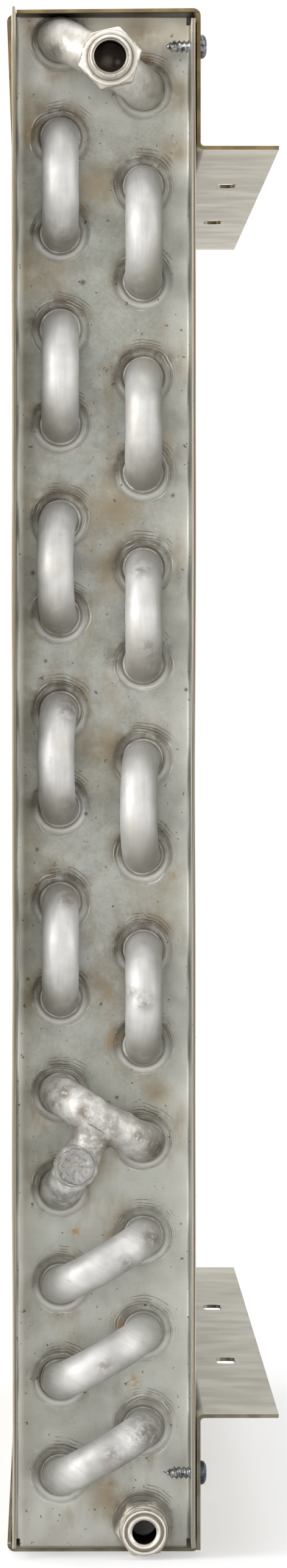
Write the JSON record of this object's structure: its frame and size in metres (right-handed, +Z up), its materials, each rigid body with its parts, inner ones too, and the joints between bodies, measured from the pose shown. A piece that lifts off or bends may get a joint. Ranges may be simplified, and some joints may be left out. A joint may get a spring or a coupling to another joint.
{
  "type": "air conditioning condenser",
  "caption": "Upright tube-and-fin condenser in a folded sheet frame, with return bends and hex fittings at one end and slotted mounting flanges along one side.",
  "frame": {"origin": "middle of the underside of the lower channel", "axes": "+Y along the tubes, away from the connections; +Z up; +X towards the mounting flanges"},
  "size_m": [0.0716, 0.54, 0.4084],
  "materials": {
    "plate_sheet": "satin galvanised sheet, stained round the tubes",
    "channel_sheet": "satin galvanised sheet with a fine grain",
    "fins": "bare rolled sheet",
    "tube": "satin drawn tube with scuffs",
    "brazed_tube": "whitish, uneven where it was brazed",
    "fitting": "turned, with fine rings",
    "screw": "dark blue zinc plating"
  },
  "bodies": {
    "root": {"near_end_plate": "plate_sheet", "far_end_plate": "plate_sheet", "top_channel": "channel_sheet", "bottom_channel": "channel_sheet", "fin_pack": "fins", "hairpin_left_1": "tube", "hairpin_left_2": "tube", "hairpin_left_3": "tube", "hairpin_left_4": "tube", "hairpin_left_5": "tube", "hairpin_left_6": "tube", "hairpin_right_1": "tube", "hairpin_right_2": "tube", "hairpin_right_3": "tube", "hairpin_right_4": "tube", "hairpin_right_5": "tube", "hairpin_right_6": "tube", "hairpin_cross_1": "tube", "hairpin_cross_2": "tube", "hairpin_cross_3": "tube", "hairpin_cross_4": "tube", "bend_left_1": "tube", "bend_left_2": "tube", "bend_left_3": "tube", "bend_left_4": "tube", "bend_left_5": "tube", "bend_right_1": "tube", "bend_right_2": "tube", "bend_right_3": "tube", "bend_right_4": "tube", "bend_right_5": "tube", "bend_slant_1": "tube", "bend_slant_2": "tube", "bend_slant_3": "tube", "outlet_stub": "tube", "inlet_crossover": "brazed_tube", "three_way_tube": "brazed_tube", "branch_elbow": "brazed_tube", "branch_cap": "brazed_tube", "inlet_fitting": "fitting", "outlet_fitting": "fitting", "bracket_screws": "screw"}
  },
  "joints": []
}
